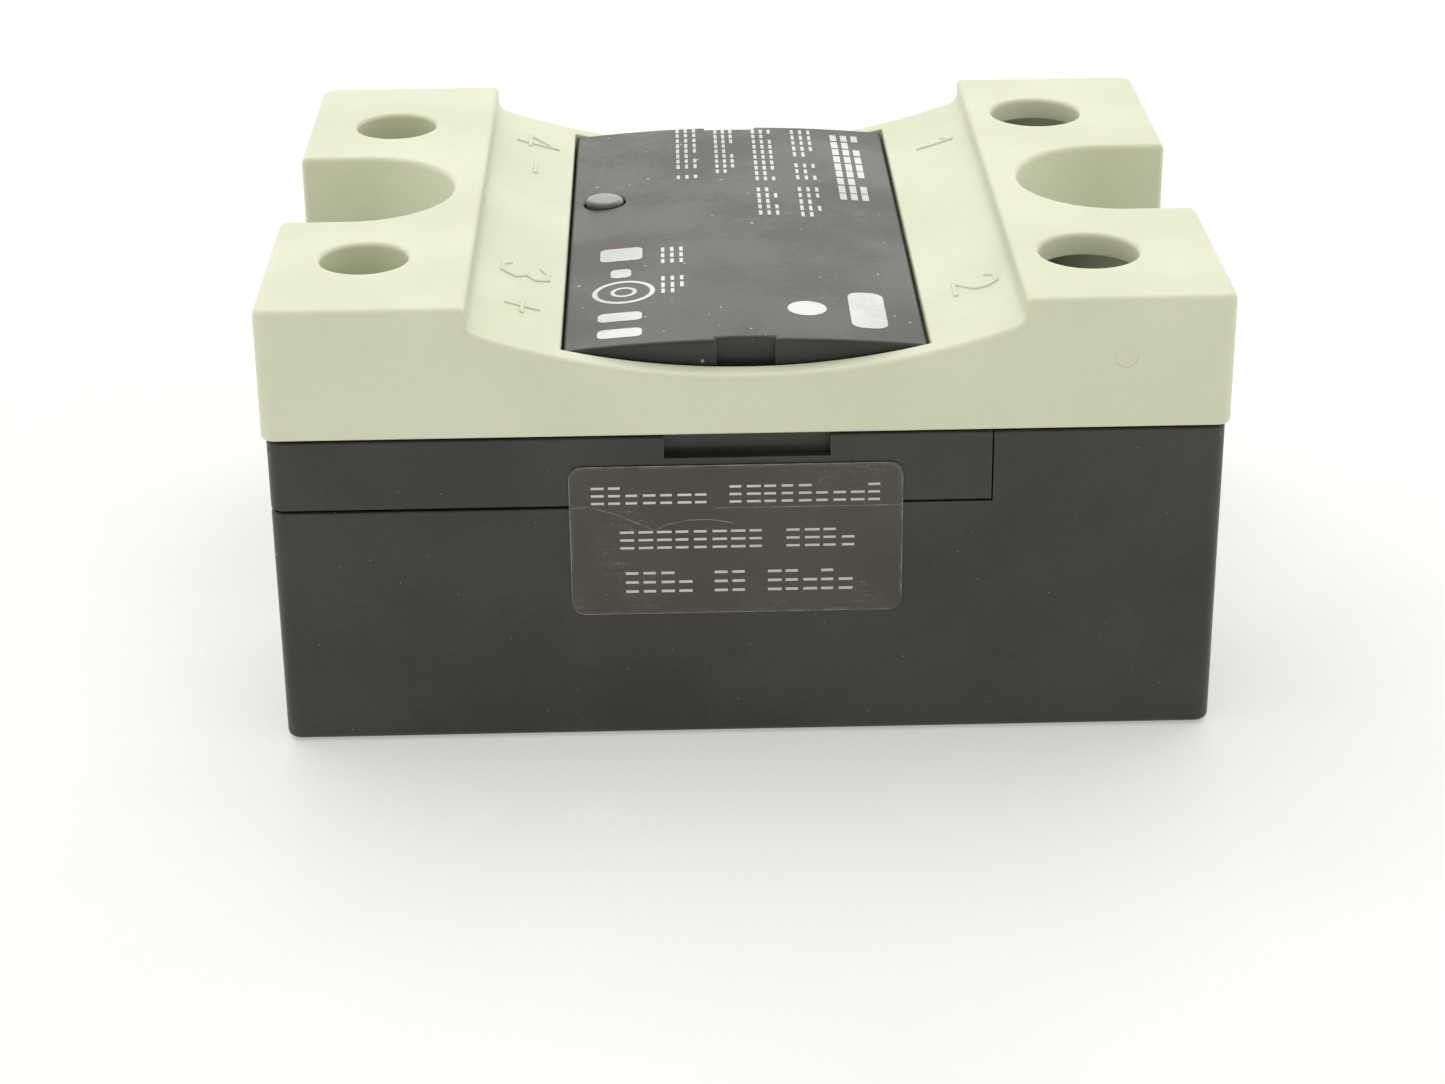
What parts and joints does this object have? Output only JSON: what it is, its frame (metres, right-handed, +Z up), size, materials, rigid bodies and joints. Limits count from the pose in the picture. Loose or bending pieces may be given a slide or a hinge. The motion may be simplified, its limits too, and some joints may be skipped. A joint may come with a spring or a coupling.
{
  "type": "solid state relay",
  "caption": "Flat panel-mount solid state relay with a metal base, black housing, screw terminals, status light and a pale clip-on terminal cover.",
  "frame": {"origin": "middle of the base plate's underside", "axes": "+X along the length towards the output terminals, +Y across to the rear, +Z up from the base plate"},
  "size_m": [0.0582, 0.0448, 0.0288],
  "materials": {
    "nickel_plate": "satin nickel plate",
    "black_resin": "fine satin moulded resin",
    "pale_resin": "satin moulded resin, pale cream green",
    "potting": "cast compound",
    "tinned": "tin plate",
    "zinc_screw": "zinc plate",
    "copper": "bare copper",
    "ceramic": "fired ceramic",
    "silicon": "polished wafer",
    "circuit_board": "solder mask",
    "package": "moulded package",
    "can_sleeve": "shrink sleeve",
    "disc_coating": "dipped coating",
    "light_pipe": "translucent lens",
    "seal_film": "printed film"
  },
  "bodies": {
    "root": {"base_plate": "nickel_plate", "lower_housing": "black_resin", "upper_housing": "black_resin", "potting_compound": "potting", "output_lug_1": "tinned", "output_lug_2": "tinned", "control_lug_3": "tinned", "control_lug_4": "tinned", "ceramic_substrate": "ceramic", "copper_track_1": "copper", "copper_track_2": "copper", "thyristor_chip_1": "silicon", "thyristor_chip_2": "silicon", "chip_strap_1": "copper", "chip_strap_2": "copper", "varistor": "disc_coating", "control_board": "circuit_board", "gate_pin_1": "tinned", "gate_pin_2": "tinned", "cathode_pin_1": "tinned", "cathode_pin_2": "tinned", "optocoupler": "package", "bridge_rectifier": "package", "smoothing_capacitor": "can_sleeve", "resistor_1": "package", "resistor_2": "package", "resistor_3": "package", "light_source": "ceramic", "light_pipe": "light_pipe", "seal_label": "seal_film"},
    "cover": {"terminal_cover": "pale_resin"},
    "output_clamp_1": {"output_clamp_1": "tinned"},
    "output_screw_1": {"output_screw_1": "zinc_screw"},
    "output_clamp_2": {"output_clamp_2": "tinned"},
    "output_screw_2": {"output_screw_2": "zinc_screw"},
    "control_clamp_3": {"control_clamp_3": "tinned"},
    "control_screw_3": {"control_screw_3": "zinc_screw"},
    "control_clamp_4": {"control_clamp_4": "tinned"},
    "control_screw_4": {"control_screw_4": "zinc_screw"}
  },
  "joints": [
    {"name": "cover_lift", "type": "slide", "parent": "root", "child": "cover", "axis": [0, 0, 1], "range_m": [0, 0.012]},
    {"name": "output_clamp_1_rise", "type": "slide", "parent": "root", "child": "output_clamp_1", "axis": [0, 0, 1], "range_m": [0, 0.0032]},
    {"name": "output_screw_1_turn", "type": "hinge", "parent": "output_clamp_1", "child": "output_screw_1", "pos_m": [0.02125, 0.0141, 0.0202], "axis": [0, 0, 1], "range_deg": [0, 1441]},
    {"name": "output_clamp_2_rise", "type": "slide", "parent": "root", "child": "output_clamp_2", "axis": [0, 0, 1], "range_m": [0, 0.0032]},
    {"name": "output_screw_2_turn", "type": "hinge", "parent": "output_clamp_2", "child": "output_screw_2", "pos_m": [0.02125, -0.0141, 0.0202], "axis": [0, 0, 1], "range_deg": [0, 1441]},
    {"name": "control_clamp_3_rise", "type": "slide", "parent": "root", "child": "control_clamp_3", "axis": [0, 0, 1], "range_m": [0, 0.002]},
    {"name": "control_screw_3_turn", "type": "hinge", "parent": "control_clamp_3", "child": "control_screw_3", "pos_m": [-0.0232, -0.0133, 0.0194], "axis": [0, 0, 1], "range_deg": [0, 1441]},
    {"name": "control_clamp_4_rise", "type": "slide", "parent": "root", "child": "control_clamp_4", "axis": [0, 0, 1], "range_m": [0, 0.002]},
    {"name": "control_screw_4_turn", "type": "hinge", "parent": "control_clamp_4", "child": "control_screw_4", "pos_m": [-0.0232, 0.0133, 0.0194], "axis": [0, 0, 1], "range_deg": [0, 1441]}
  ],
  "couplings": [
    {"joint": "output_screw_1_turn", "follows": "output_clamp_1_rise", "rad_per_m": 7854},
    {"joint": "output_screw_2_turn", "follows": "output_clamp_2_rise", "rad_per_m": 7854},
    {"joint": "control_screw_3_turn", "follows": "control_clamp_3_rise", "rad_per_m": 12566},
    {"joint": "control_screw_4_turn", "follows": "control_clamp_4_rise", "rad_per_m": 12566}
  ]
}
